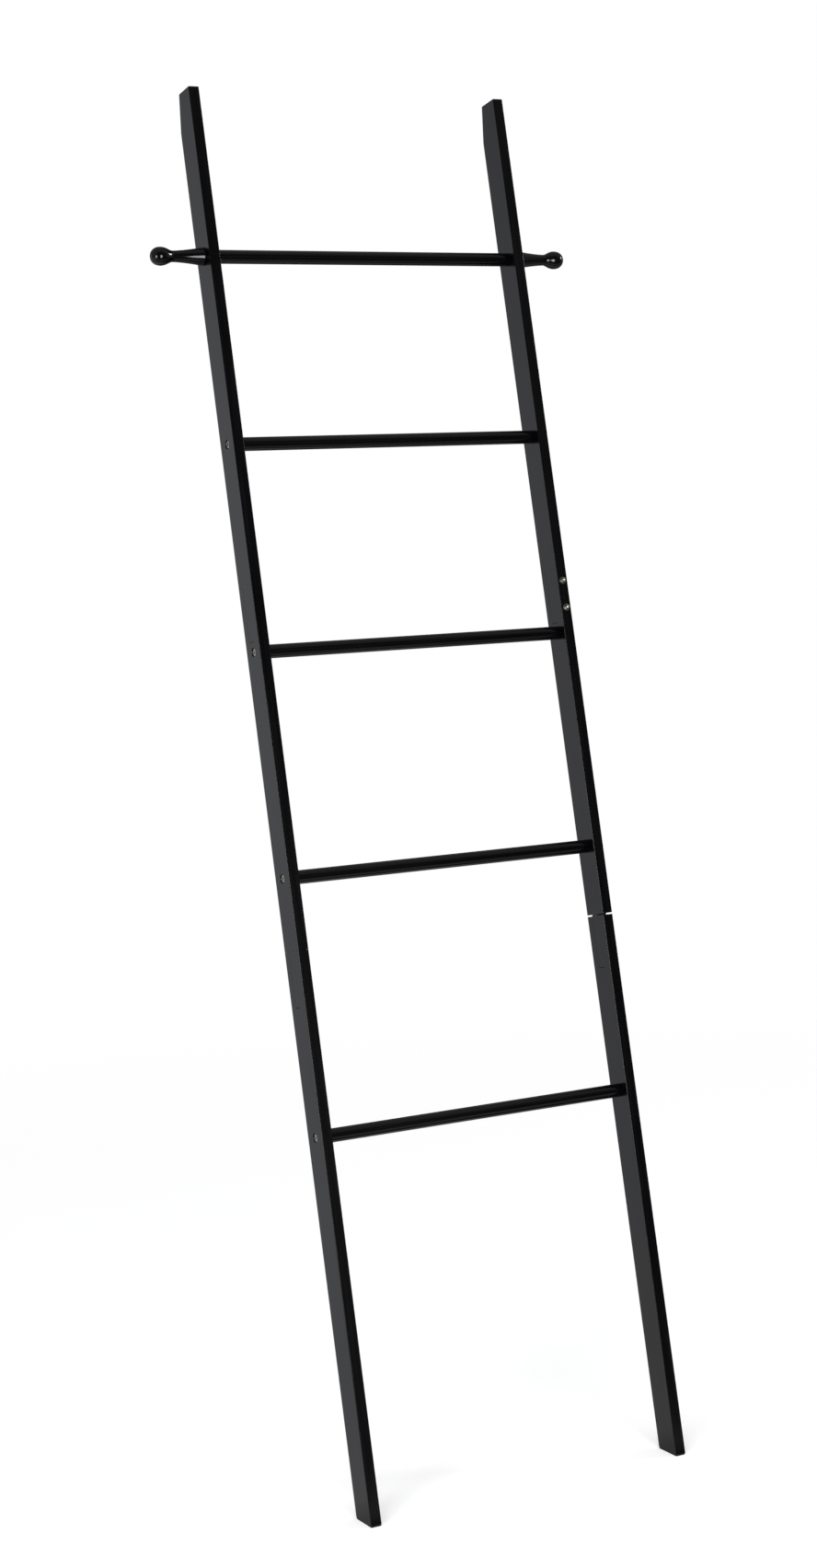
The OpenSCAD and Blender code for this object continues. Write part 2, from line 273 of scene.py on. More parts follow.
@dataclass(frozen=True)
class PlatedMetal:
    """Metal with its plating or its plain turned surface.

    Handling and tarnish dull it in patches, and the tool leaves fine rings on it.
    """

    name: str
    bright_color: str
    dull_color: str
    roughness: float = 0.22
    roughness_spread: float = 0.08
    patch_size: Size = (3 * MM,) * 3
    # Stretch of the patches over which the metal goes from bright to dull.
    tarnish_span: Span = (0.35, 0.65)
    # Tool marks are 0.05 mm apart, too fine to show, so they are drawn five times as wide.
    mark_size: Size = (0.25 * MM, 4 * MM, 4 * MM)
    mark_depth: float = 0.004 * MM
    # The socket gets its own colour, which is painted light: brighter than the plating it is a
    # painted highlight, darker it is painted shade.
    socket_highlight_and_shade_color: str = "#F2EFE6"
    key_roughness: float = 0.24

    def make(self) -> Material:
        """Build the material and return it."""
        material, nodes = new_material(self.name)
        place = nodes.add("ShaderNodeTexCoord").outputs["Object"]
        patches = nodes.noise(place, self.patch_size)
        marks = nodes.noise(place, self.mark_size)
        tarnish = nodes.remap(patches, self.tarnish_span, (0.0, 1.0))
        plating = nodes.add("ShaderNodeMix", {
            0: tarnish, COLOR_A: linear(self.bright_color), COLOR_B: linear(self.dull_color)},
            data_type="RGBA")
        key = nodes.add("ShaderNodeAttribute", attribute_name=KEY).outputs["Fac"]
        # Where the socket is, its colour is painted light: a highlight where it is brighter than the
        # plating, shade where it is darker.
        color = nodes.add("ShaderNodeMix", {
            0: key, COLOR_A: plating.outputs[MIXED_COLOR], COLOR_B: linear(self.socket_highlight_and_shade_color)},
            data_type="RGBA")
        worn = nodes.remap(patches, self.tarnish_span,
                           (self.roughness, self.roughness + self.roughness_spread))
        roughness = nodes.remap(key, (0.0, 1.0), (worn, self.key_roughness))
        bump = nodes.add("ShaderNodeBump",
                         {"Height": marks, "Distance": self.mark_depth, "Strength": 1.0})
        shader = nodes.add("ShaderNodeBsdfPrincipled", {
            "Base Color": color.outputs[MIXED_COLOR], "Metallic": 1.0, "Roughness": roughness,
            "Normal": bump})
        nodes.add("ShaderNodeOutputMaterial", {"Surface": shader})
        return material


@dataclass(frozen=True)
class MattRubber:
    """Moulded black rubber with a fine grit, dusty grey where it has been handled."""

    name: str
    clean_color: str = "#101010"
    dusty_color: str = "#1D1C1B"
    roughness: float = 0.75
    grit_size: Size = (0.6 * MM,) * 3
    grit_depth: float = 0.03 * MM
    dust_size: Size = (8 * MM,) * 3
    # Stretch of the dust pattern over which the rubber goes from clean to dusty.
    dust_span: Span = (0.4, 0.65)

    def make(self) -> Material:
        """Build the material and return it."""
        material, nodes = new_material(self.name)
        place = nodes.add("ShaderNodeTexCoord").outputs["Object"]
        grit = nodes.noise(place, self.grit_size)
        dust = nodes.remap(nodes.noise(place, self.dust_size), self.dust_span, (0.0, 1.0))
        color = nodes.add("ShaderNodeMix", {
            0: dust, COLOR_A: linear(self.clean_color), COLOR_B: linear(self.dusty_color)},
            data_type="RGBA")
        bump = nodes.add("ShaderNodeBump",
                         {"Height": grit, "Distance": self.grit_depth, "Strength": 1.0})
        shader = nodes.add("ShaderNodeBsdfPrincipled", {
            "Base Color": color.outputs[MIXED_COLOR], "Roughness": self.roughness,
            "Normal": bump})
        nodes.add("ShaderNodeOutputMaterial", {"Surface": shader})
        return material


@dataclass(frozen=True)
class LeaningFrame:
    """Where the rails stand and how they lean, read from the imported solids."""

    lean: float = LEAN
    rail_width: float = 14 * MM
    rail_depth: float = 38.5 * MM

    @property
    def toe(self) -> Vector:
        """The front edge of the feet, midway across the ladder."""
        low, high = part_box("left_rail_bottom")
        return Vector((0.0, low.y, low.z))

    @property
    def outer(self) -> float:
        """Distance from the ladder's middle to the outer side of a rail."""
        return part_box("right_rail_bottom")[1].x

    @property
    def up(self) -> Vector:
        """Direction up along the rails."""
        return Vector((0.0, math.sin(self.lean), math.cos(self.lean)))

    @property
    def back(self) -> Vector:
        """Direction from the rails' front faces to their wall sides."""
        return Vector((0.0, math.cos(self.lean), -math.sin(self.lean)))

    def place(self, across: float, depth: float, height: float) -> Vector:
        """Turn a place in the rails' own frame into one in the room."""
        return self.toe + Vector((across, 0.0, 0.0)) + self.back * depth + self.up * height


def box_middle(node: str) -> Vector:
    """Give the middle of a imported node's box."""
    return Vector([(low + high) / 2 for low, high in zip(*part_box(node))])


def link(obj: Object) -> Object:
    """Put an object in the scene and return it."""
    bpy.context.scene.collection.objects.link(obj)
    return obj


def mesh_object(name: str, points: Sequence[Vector], edges: Sequence[tuple[int, int]] = ()
                ) -> Object:
    """Make a mesh of loose points, or of points joined by edges.

    Args:
        name: name of the object.
        points: places of the points.
        edges: pairs of point numbers.

    Returns:
        The new object, in the scene.
    """
    mesh = bpy.data.meshes.new(name)
    mesh.from_pydata([tuple(point) for point in points], list(edges), [])
    return link(bpy.data.objects.new(name, mesh))


def clean_copy(node: str, flat_angle: float) -> bmesh.types.BMesh:
    """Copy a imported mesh, welded and shaded smooth, with each flat face in one piece.

    Args:
        node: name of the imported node.
        flat_angle: faces that meet within this angle become one.

    Returns:
        The copy, with its faces outwards.
    """
    work = bmesh.new()
    work.from_mesh(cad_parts[node].data)
    bmesh.ops.remove_doubles(work, verts=work.verts, dist=WELD)
    bmesh.ops.dissolve_limit(work, angle_limit=flat_angle, verts=work.verts, edges=work.edges)
    bmesh.ops.recalc_face_normals(work, faces=work.faces)
    for face in work.faces:
        face.smooth = True
    return work


def finished_mesh(work: bmesh.types.BMesh, name: str, finish: Material) -> Object:
    """Make an object of a mesh that was worked on.

    Args:
        work: the mesh, which is freed.
        name: name of the object.
        finish: its material.

    Returns:
        The new object, in the scene.
    """
    mesh = bpy.data.meshes.new(name)
    work.to_mesh(mesh)
    work.free()
    mesh.materials.append(finish)
    return link(bpy.data.objects.new(name, mesh))


def bake_modifiers(obj: Object) -> None:
    """Turn an object's evaluated shape into its plain mesh, and remove its modifiers.

    Args:
        obj: the object, whose old mesh is deleted.
    """
    graph = bpy.context.evaluated_depsgraph_get()
    graph.update()
    mesh = bpy.data.meshes.new_from_object(
        obj.evaluated_get(graph), preserve_all_data_layers=True, depsgraph=graph)
    obj.modifiers.clear()
    old = obj.data
    obj.data = mesh
    bpy.data.meshes.remove(old)
    mesh.name = obj.name


def face_outwards(mesh: Mesh) -> None:
    """Make every face point outwards.

    Args:
        mesh: a closed mesh.
    """
    work = bmesh.new()
    work.from_mesh(mesh)
    bmesh.ops.recalc_face_normals(work, faces=work.faces)
    work.to_mesh(mesh)
    work.free()


def hand_over(piece: Object, node: str) -> None:
    """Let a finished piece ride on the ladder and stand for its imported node.

    Args:
        piece: the finished piece.
        node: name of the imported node.
    """
    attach(piece, BODY)
    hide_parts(node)
    LOG.info("%s: %d faces", piece.name, len(piece.data.polygons))


class TurnedTree:
    """Geometry Nodes tree that turns a profile round an axis at every seat.

    Where the key share is 1, the profile is turned to a polygon that has the radius inside it.
    """

    merge_distance: float = 0.001 * MM
    sharp_angle: float = math.radians(32.0)
    key_sides: int = 6

    def __init__(self) -> None:
        """Build the tree."""
        self.tree = bpy.data.node_groups.new("Turned on seats", "GeometryNodeTree")
        self.tree.is_modifier = True
        self.nodes = Nodes(self.tree)
        self._sockets()
        self._nodes()

    def _sockets(self) -> None:
        """Name the tree's inputs and its output."""
        interface = self.tree.interface
        kinds = {"Seats": "Geometry", "Profile": "Object", "Axis": "Vector", "Segments": "Int",
                 "Key Sides": "Int", "Seed": "Int", "Finish": "Material"}
        for name, kind in kinds.items():
            interface.new_socket(name, in_out="INPUT", socket_type="NodeSocket" + kind)
        interface.new_socket("Turned", in_out="OUTPUT", socket_type="NodeSocketGeometry")

    def _math(self, operation: str, *terms: float | Socket | Node) -> Socket:
        """Work out an operation on its terms, and return the socket with the result."""
        inputs = dict(enumerate(terms))
        return self.nodes.add("ShaderNodeMath", inputs, operation=operation).outputs[0]

    def _turned(self, given: NodeOutputs) -> Socket:
        """Turn the profile round Z.

        Args:
            given: the tree's inputs.

        Returns:
            Socket with the closed mesh.
        """
        nodes = self.nodes
        chain = nodes.add("GeometryNodeObjectInfo", {"Object": given["Profile"]})
        profile = chain.outputs["Geometry"]
        stations = nodes.add("GeometryNodeAttributeDomainSize", {0: profile}, component="MESH")
        columns = self._math("ADD", given["Segments"], 1)
        grid = nodes.add("GeometryNodeMeshGrid", {
            "Size X": 1.0, "Size Y": 1.0, "Vertices X": stations.outputs["Point Count"],
            "Vertices Y": columns})
        index = nodes.add("GeometryNodeInputIndex")
        station = self._math("FLOOR", self._math("DIVIDE", index, columns))
        column = self._math("SUBTRACT", index, self._math("MULTIPLY", station, columns))
        where = nodes.add("GeometryNodeInputPosition")
        point = nodes.add("GeometryNodeSampleIndex", {0: profile, 1: where, 2: station},
                          data_type="FLOAT_VECTOR", domain="POINT")
        parts = nodes.add("ShaderNodeSeparateXYZ", {0: point})
        out, key_share, along = parts.outputs

        angle = self._math("MULTIPLY", column, self._math("DIVIDE", math.tau, given["Segments"]))
        sector = self._math("DIVIDE", math.tau, given["Key Sides"])
        fold = self._math("SUBTRACT", self._math("FLOORED_MODULO", angle, sector),
                          self._math("MULTIPLY", sector, 0.5))
        corner = self._math("SUBTRACT", self._math("DIVIDE", 1.0, self._math("COSINE", fold)), 1.0)
        reach = self._math("MULTIPLY_ADD", key_share, corner, 1.0)
        radius = self._math("MULTIPLY", out, reach)
        place = nodes.add("ShaderNodeCombineXYZ", {
            0: self._math("MULTIPLY", radius, self._math("COSINE", angle)),
            1: self._math("MULTIPLY", radius, self._math("SINE", angle)),
            2: along})
        keyed = nodes.add("GeometryNodeStoreNamedAttribute", {
            "Geometry": grid, "Name": KEY, "Value": key_share}, data_type="FLOAT", domain="POINT")
        moved = nodes.add("GeometryNodeSetPosition", {"Geometry": keyed, "Position": place})
        merged = nodes.add("GeometryNodeMergeByDistance",
                           {"Geometry": moved, "Distance": self.merge_distance})
        return merged.outputs[0]

    def _nodes(self) -> None:
        """Turn the profile, set it on the seats and give it its finish."""
        nodes = self.nodes
        given = nodes.add("NodeGroupInput").outputs
        turned = self._turned(given)
        bend = nodes.add("GeometryNodeInputMeshEdgeAngle")
        bent = self._math("GREATER_THAN", bend, self.sharp_angle)
        smooth = nodes.add("GeometryNodeSetShadeSmooth", {"Geometry": turned}, domain="FACE")
        sharp = nodes.add("GeometryNodeSetShadeSmooth", {
            "Geometry": smooth, "Selection": bent, "Shade Smooth": False}, domain="EDGE")
        aim = nodes.add("FunctionNodeAlignRotationToVector", {"Vector": given["Axis"]}, axis="Z")
        roll = nodes.add("FunctionNodeRandomValue",
                         {"Min": 0.0, "Max": math.tau, "Seed": given["Seed"]}, data_type="FLOAT")
        angle = next(socket for socket in roll.outputs if socket.enabled)
        spin = nodes.add("FunctionNodeAxisAngleToRotation",
                         {"Axis": (0.0, 0.0, 1.0), "Angle": angle})
        turn = nodes.add("FunctionNodeRotateRotation", {"Rotation": aim, "Rotate By": spin},
                         rotation_space="LOCAL")
        copies = nodes.add("GeometryNodeInstanceOnPoints",
                           {"Points": given["Seats"], "Instance": sharp, "Rotation": turn})
        real = nodes.add("GeometryNodeRealizeInstances", {"Geometry": copies})
        dressed = nodes.add("GeometryNodeSetMaterial",
                            {"Geometry": real, "Material": given["Finish"]})
        nodes.add("NodeGroupOutput", {0: dressed})

    def make(self, name: str, profile: Profile, seats: Sequence[Vector], axis: Vector,
             finish: Material, segments: int, seed: int = 0) -> Object:
        """Turn a profile at every seat and return one plain mesh.

        Args:
            name: name of the piece.
            profile: outline from the axis back to it.
            seats: where each copy's axis starts.
            axis: direction of the axis.
            finish: material of the piece.
            segments: steps round the axis.
            seed: number that sets how far each copy is rolled.

        Returns:
            The finished piece.
        """
        chain = mesh_object(name + "_profile", [Vector(point) for point in profile],
                            [(i, i + 1) for i in range(len(profile) - 1)])
        piece = mesh_object(name, seats)
        modifier = piece.modifiers.new("turned", "NODES")
        modifier.node_group = self.tree
        values = {"Profile": chain, "Axis": tuple(axis), "Segments": segments,
                  "Key Sides": self.key_sides, "Seed": seed, "Finish": finish}
        for item in self.tree.interface.items_tree:
            if item.in_out == "INPUT" and item.name in values:
                modifier[item.identifier] = values[item.name]
        bake_modifiers(piece)
        bpy.data.objects.remove(chain)
        face_outwards(piece.data)
        return piece


@dataclass
class Rails:
    """The two rails, each of three sections joined by tongue-and-slot splices."""

    finish: Material
    place: LeaningFrame
    sections: tuple[str, ...] = ("top", "middle", "bottom")
    flat_angle: float = math.radians(0.4)
    edge_angle: float = math.radians(34.0)
    # The lacquer runs back from the cut edges and leaves them softly rounded.
    edge_round: float = 0.35 * MM
    edge_segments: int = 3
    # A face square to the rail's depth or length within this angle can be part of a joint.
    square_angle: float = math.radians(2.0)
    # A joint reaches this far below its shoulder.
    joint_reach: float = 70 * MM
    # Faces this close to the rail's front or back, or this far above a shoulder, are outside it.
    skin: float = 1 * MM
    # The counterbores are drilled through the lacquer, so their rims stay crisp.
    bore_reach: float = 7 * MM

    def _mark(self, work: bmesh.types.BMesh) -> None:
        """Mark the faces of the tongues, slots and shoulders, and the edges to ease outside them.

        Args:
            work: mesh of a section.
        """
        layer = work.faces.layers.float.new(JOINT)
        square = math.cos(self.square_angle)
        toe, back, up = self.place.toe, self.place.back, self.place.up
        for face in work.faces:
            spot = face.calc_center_median() - toe
            depth, height = spot.dot(back), spot.dot(up)
            along = abs(face.normal.dot(up)) > square
            cheek = (abs(face.normal.dot(back)) > square
                     and self.skin < depth < self.place.rail_depth - self.skin)
            near = any(-self.joint_reach < height - splice.value < self.skin for splice in Splice)
            face[layer] = float(near and (cheek or along))

        # The joints were cut after the other edges were eased, so theirs stay crisp.
        eased = work.edges.layers.float.new("bevel_weight_edge")
        bores = [box_middle(rung).yz for rung in RUNGS]
        for edge in work.edges:
            bent = edge.calc_face_angle(0.0) > self.edge_angle
            in_joint = any(face[layer] for face in edge.link_faces)
            middle = (edge.verts[0].co + edge.verts[1].co).yz / 2
            at_bore = any((middle - bore).length < self.bore_reach for bore in bores)
            edge[eased] = float(bent and not in_joint and not at_bore)
            edge.smooth = not (bent and (in_joint or at_bore))

    def _section(self, node: str) -> Object:
        """Copy a packed section as a clean mesh with softened edges.

        Args:
            node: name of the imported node.

        Returns:
            The finished section.
        """
        work = clean_copy(node, self.flat_angle)
        self._mark(work)
        piece = finished_mesh(work, node + "_lacquered", self.finish)
        bevel = piece.modifiers.new("soft edges", "BEVEL")
        bevel.limit_method = "WEIGHT"
        bevel.width = self.edge_round
        bevel.segments = self.edge_segments
        bevel.use_clamp_overlap = False
        bevel.harden_normals = True
        weights = piece.modifiers.new("flat faces", "WEIGHTED_NORMAL")
        weights.keep_sharp = True
        bake_modifiers(piece)
        return piece

    def build(self) -> None:
        """Build all sections of both rails."""
        for side in Side:
            for section in self.sections:
                node = side.node(f"rail_{section}")
                hand_over(self._section(node), node)


@dataclass
class Rungs:
    """The five round rungs between the rails."""

    tree: TurnedTree
    finish: Material
    end_chamfer: float = 0.6 * MM
    end_round: float = 0.2 * MM
    stations: int = 24
    segments: int = 96

    def _profile(self, radius: float, length: float) -> Profile:
        """Give a rung's outline with chamfered ends.

        Args:
            radius: radius of the rung.
            length: length of the rung.

        Returns:
            The outline from end to end.
        """
        # A point beside each bend of the chamfer rounds it a little.
        cut, bend = self.end_chamfer, self.end_round
        end = [(0.0, 0.0), (radius - cut, 0.0), (radius - cut + bend / 2, bend / 4),
               (radius - bend / 4, cut - bend / 2), (radius, cut), (radius, cut + bend / 2)]
        near = [(out, 0.0, along) for out, along in end]
        step = (length - 2 * cut) / self.stations
        middle = [(radius, 0.0, cut + step * i) for i in range(1, self.stations)]
        far = [(out, 0.0, length - along) for out, along in reversed(end)]
        return near + middle + far

    def build(self) -> None:
        """Build every rung between the faces that its node gives."""
        for node in RUNGS:
            low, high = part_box(node)
            seat = Vector((low.x, *box_middle(node).yz))
            profile = self._profile((high.z - low.z) / 2, high.x - low.x)
            piece = self.tree.make(node + "_turned", profile, [seat], Vector((1.0, 0.0, 0.0)),
                                   self.finish, self.segments)
            hand_over(piece, node)


@dataclass
class Knobs:
    """The two turned knobs outside the rails at the first rung."""

    tree: TurnedTree
    finish: Material
    head_d: float = 22.9 * MM
    neck_d: float = 13.9 * MM
    base_d: float = 22.8 * MM
    neck_out: float = 41.5 * MM
    neck_to_head: float = 15.4 * MM
    head_to_end: float = 12.9 * MM
    base_round: float = 1.4 * MM
    # How the profile curves: to the neck, on to the widest place, and over the end.
    flare_power: float = 1.55
    swell_power: float = 0.8
    dome_power: float = 2.25
    segments: int = 120
    round_steps: int = 8
    flare_steps: int = 28
    swell_steps: int = 24
    dome_steps: int = 22

    def _flare(self, out: float) -> float:
        """Give the radius of the flare at a distance from the rail."""
        share = (self.neck_out - out) / self.neck_out
        return self.neck_d / 2 + (self.base_d - self.neck_d) / 2 * share ** self.flare_power

    def _swell(self, out: float) -> float:
        """Give the radius between the neck and the widest point of the head."""
        share = ((out - self.neck_out) / self.neck_to_head) ** self.swell_power
        return self.neck_d / 2 + (self.head_d - self.neck_d) / 4 * (1 - math.cos(math.pi * share))

    def _profile(self) -> Profile:
        """Give the knob's outline.

        Returns:
            The outline from the rail to the knob's end.
        """
        points = [(0.0, 0.0)]
        edge = self._flare(self.base_round)
        for i in range(self.round_steps + 1):
            turn = QUARTER_TURN * i / self.round_steps
            points.append((edge - self.base_round * (1 - math.sin(turn)),
                           self.base_round * (1 - math.cos(turn))))
        for i in range(1, self.flare_steps + 1):
            out = self.base_round + (self.neck_out - self.base_round) * i / self.flare_steps
            points.append((self._flare(out), out))
        for i in range(1, self.swell_steps + 1):
            out = self.neck_out + self.neck_to_head * i / self.swell_steps
            points.append((self._swell(out), out))
        widest = self.neck_out + self.neck_to_head
        power = 2 / self.dome_power
        for i in range(1, self.dome_steps + 1):
            turn = QUARTER_TURN * i / self.dome_steps
            points.append((self.head_d / 2 * max(math.cos(turn), 0.0) ** power,
                           widest + self.head_to_end * math.sin(turn) ** power))
        return [(radius, 0.0, out) for radius, out in points]

    def build(self) -> None:
        """Build both knobs on the outer sides of the rails."""
        for side in Side:
            node = side.node("knob")
            low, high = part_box(node)
            base = low.x if side is Side.RIGHT else high.x
            seat = Vector((base, *box_middle(node).yz))
            piece = self.tree.make(node + "_turned", self._profile(), [seat],
                                   Vector((side.value, 0.0, 0.0)), self.finish, self.segments)
            hand_over(piece, node)


@dataclass(frozen=True)
class ButtonScrew:
    """A button-head screw with a key socket, from its head's top down to its point."""

    shank_d: float
    length: float
    head_d: float
    head_h: float
    key: float
    key_depth: float
    rim_share: float = 0.25
    rim_round: float = 0.25 * MM
    mouth_round: float = 0.18 * MM
    # The socket's flats end this many mouth roundings below its mouth.
    mouth_drop: float = 1.6
    # The drilled tip under the socket, as a share of the socket's radius.
    tip_share: float = 0.45
    # Shares of the rim's rounding: its bend, in from the edge and down, and its lower side.
    bend_in: float = 0.3
    bend_down: float = 0.35
    under_share: float = 0.5
    point: float = 0.5 * MM
    dome_steps: int = 12
    segments: int = 48

    def profile(self) -> Profile:
        """Give the screw's outline.

        Returns:
            The outline, with the head's seat at 0 and the point at the shank's length.
        """
        rise = self.head_h - self.head_h * self.rim_share
        ball = ((self.head_d / 2) ** 2 + rise ** 2) / (2 * rise)
        socket = self.key / 2
        corner = socket / math.cos(math.pi / TurnedTree.key_sides)
        mouth = corner + self.mouth_round
        floor = -self.head_h + self.key_depth

        def dome(radius: float) -> float:
            """Give the height of the dome at a radius."""
            return -self.head_h + ball - math.sqrt(ball ** 2 - radius ** 2)

        points = [(0.0, 1.0, floor + socket * self.tip_share), (socket, 1.0, floor),
                  (socket, 1.0, dome(mouth) + self.mouth_round * self.mouth_drop),
                  (mouth, 0.0, dome(mouth))]
        edge = self.head_d / 2 - self.rim_round
        for i in range(1, self.dome_steps + 1):
            radius = mouth + (edge - mouth) * i / self.dome_steps
            points.append((radius, 0.0, dome(radius)))
        low = dome(edge)
        rim, shank = self.head_d / 2, self.shank_d / 2
        under = self.rim_round * self.under_share
        points += [(rim - self.rim_round * self.bend_in, 0.0, low + self.rim_round * self.bend_down),
                   (rim, 0.0, low + self.rim_round),
                   (rim, 0.0, -under),
                   (rim - under, 0.0, 0.0),
                   (shank, 0.0, 0.0),
                   (shank, 0.0, self.length - self.point),
                   (shank - self.point, 0.0, self.length),
                   (0.0, 0.0, self.length)]
        return points


@dataclass
class Screws:
    """The screws that hold the rungs and the splices."""

    tree: TurnedTree
    place: LeaningFrame
    rung_finish: Material
    splice_finish: Material
    rung_screw: ButtonScrew = ButtonScrew(
        shank_d=6 * MM, length=23.1 * MM, head_d=10.5 * MM, head_h=3.3 * MM, key=4 * MM,
        key_depth=2.1 * MM, rim_share=0.72)
    splice_screw: ButtonScrew = ButtonScrew(
        shank_d=5 * MM, length=31.65 * MM, head_d=9.5 * MM, head_h=2.75 * MM, key=3 * MM,
        key_depth=1.7 * MM)
    # A splice screw from the front goes through the thicker cheek.
    front_length: float = 35 * MM
    counterbore_depth: float = 3.9 * MM
    splice_drops: tuple[float, float] = (16.5 * MM, 51.5 * MM)
    # Seeds for how the keys are rolled on the left rail. On the right they are one higher.
    rung_seed: int = 0
    upper_seed: int = 10
    lower_seed: int = 20

    def _rung_screws(self, side: Side, seed: int) -> None:
        """Build the screws that go through a rail into the rungs, except the knobs' rung.

        Args:
            side: which rail.
            seed: number that sets how the keys are rolled.
        """
        node = side.node("rung_screws")
        across = side.value * (self.place.outer - self.counterbore_depth)
        seats = [Vector((across, *box_middle(rung).yz)) for rung in RUNGS[1:]]
        piece = self.tree.make(node + "_plated", self.rung_screw.profile(), seats,
                               Vector((-side.value, 0.0, 0.0)), self.rung_finish,
                               self.rung_screw.segments, seed)
        hand_over(piece, node)

    def _splice_screws(self, side: Side, splice: Splice, front: bool, seed: int) -> None:
        """Build the two screws of a splice.

        Args:
            side: which rail.
            splice: which of its splices.
            front: whether the heads sit on the front face.
            seed: number that sets how the keys are rolled.
        """
        node = side.node(f"{splice.name.lower()}_splice_screws")
        across = side.value * (self.place.outer - self.place.rail_width / 2)
        depth = 0.0 if front else self.place.rail_depth
        seats = [self.place.place(across, depth, splice.value - drop) for drop in self.splice_drops]
        axis = self.place.back if front else -self.place.back
        screw = replace(self.splice_screw, length=self.front_length) if front else self.splice_screw
        piece = self.tree.make(node + "_plated", screw.profile(), seats, axis, self.splice_finish,
                               screw.segments, seed)
        hand_over(piece, node)

    def build(self) -> None:
        """Build every group of screws."""
        for step, side in enumerate(Side):
            self._rung_screws(side, self.rung_seed + step)
            self._splice_screws(side, Splice.UPPER, side is Side.RIGHT, self.upper_seed + step)
            self._splice_screws(side, Splice.LOWER, False, self.lower_seed + step)


@dataclass
class FootPads:
    """The thin anti-slip pads under the feet."""

    finish: Material
    flat_angle: float = math.radians(1.0)
    edge_round: float = 0.3 * MM
    edge_segments: int = 2
    edge_angle: float = math.radians(50.0)

    def build(self) -> None:
        """Build both pads."""
        for side in Side:
            node = side.node("foot_pad")
            work = clean_copy(node, self.flat_angle)
            piece = finished_mesh(work, node + "_moulded", self.finish)
            bevel = piece.modifiers.new("moulded edges", "BEVEL")
            bevel.limit_method = "ANGLE"
            bevel.angle_limit = self.edge_angle
            bevel.width = self.edge_round
            bevel.segments = self.edge_segments
            bevel.harden_normals = True
            bake_modifiers(piece)
            hand_over(piece, node)


@dataclass
class HiddenHardware:
    """The studs and inserts inside the wood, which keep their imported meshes."""

    steel: Material
    brass: Material

    def build(self) -> None:
        """Dress the studs and the inserts."""
        finishes = {"knob_stud": self.steel, "rung_inserts": self.brass,
                    "splice_inserts": self.brass}
        for side in Side:
            for kind, finish in finishes.items():
                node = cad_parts[side.node(kind)]
                for slot in node.material_slots:
                    slot.material = finish
                LOG.info("%s: kept", node.name)


@dataclass
class StudioCamera:
    """The camera, standing where the photograph was taken from."""

    image_height: int = 1704
    focal_pixels: float = 2967.6
    sensor: float = 36.0
    place: tuple[float, float, float] = (-1.6206, -2.9755, 1.1351)
    yaw: float = math.radians(28.028)
    pitch: float = math.radians(-4.700)
    roll: float = math.radians(-2.747)

    def build(self) -> None:
        """Put the camera in the scene."""
        data = bpy.data.cameras.new("camera")
        data.sensor_width = self.sensor
        data.sensor_fit = "AUTO"
        data.lens = self.focal_pixels * self.sensor / self.image_height
        camera = link(bpy.data.objects.new("camera", data))
        upright = Matrix.Rotation(-self.yaw, 4, "Z")
        tilt = Matrix.Rotation(QUARTER_TURN + self.pitch, 4, "X")
        roll = Matrix.Rotation(self.roll, 4, "Z")
        camera.matrix_world = Matrix.Translation(self.place) @ upright @ tilt @ roll
        bpy.context.scene.camera = camera


def window_tint(nodes: Nodes, across: Socket, source: Span) -> Socket:
    """Fade from the cooler window light on the left to white.

    Args:
        nodes: tree that takes the nodes.
        across: socket with the place or direction along X.
        source: where it is fully cool and where it is white.

    Returns:
        Socket with the colour.
    """
    share = nodes.remap(across, source, (0.0, 1.0))
    tint = nodes.add("ShaderNodeMix", {
        0: share, COLOR_A: linear(WINDOW_COLOR), COLOR_B: WHITE}, data_type="RGBA")
    return tint.outputs[MIXED_COLOR]


